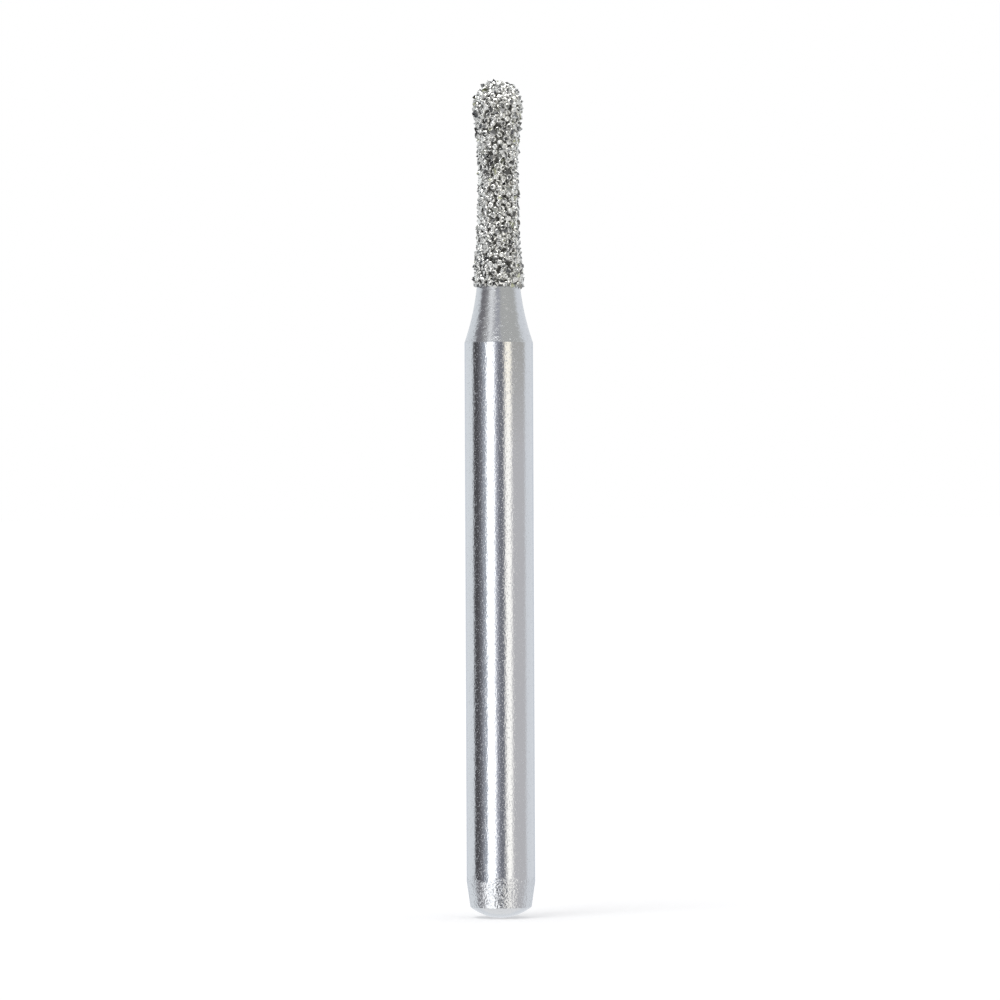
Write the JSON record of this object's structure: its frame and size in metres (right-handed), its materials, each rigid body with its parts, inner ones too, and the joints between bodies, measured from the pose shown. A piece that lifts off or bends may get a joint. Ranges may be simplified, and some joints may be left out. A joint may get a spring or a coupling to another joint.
{
  "type": "dental bur",
  "caption": "Slim grinding bur: straight round shank with a domed tail, flared neck, and a waisted head with a round tip coated in coarse abrasive grit.",
  "frame": {"origin": "lowest point of the domed tail, on the bur's axis", "axes": "+Z along the axis from the tail to the rounded tip; X and Y are any two square directions, because the bur is round"},
  "size_m": [0.0016, 0.0016, 0.0196],
  "materials": {
    "ground_stainless_steel": "centreless-ground shank, turned neck, tumbled tail",
    "plated_nickel": "electroplated nickel, satin with bright rounded edges",
    "diamond": "coarse grey-green blocky crystals, cloudy, with bright facets"
  },
  "bodies": {
    "root": {"steel_blank": "ground_stainless_steel", "nickel_bond": "plated_nickel", "diamond_grit": "diamond"}
  },
  "joints": []
}
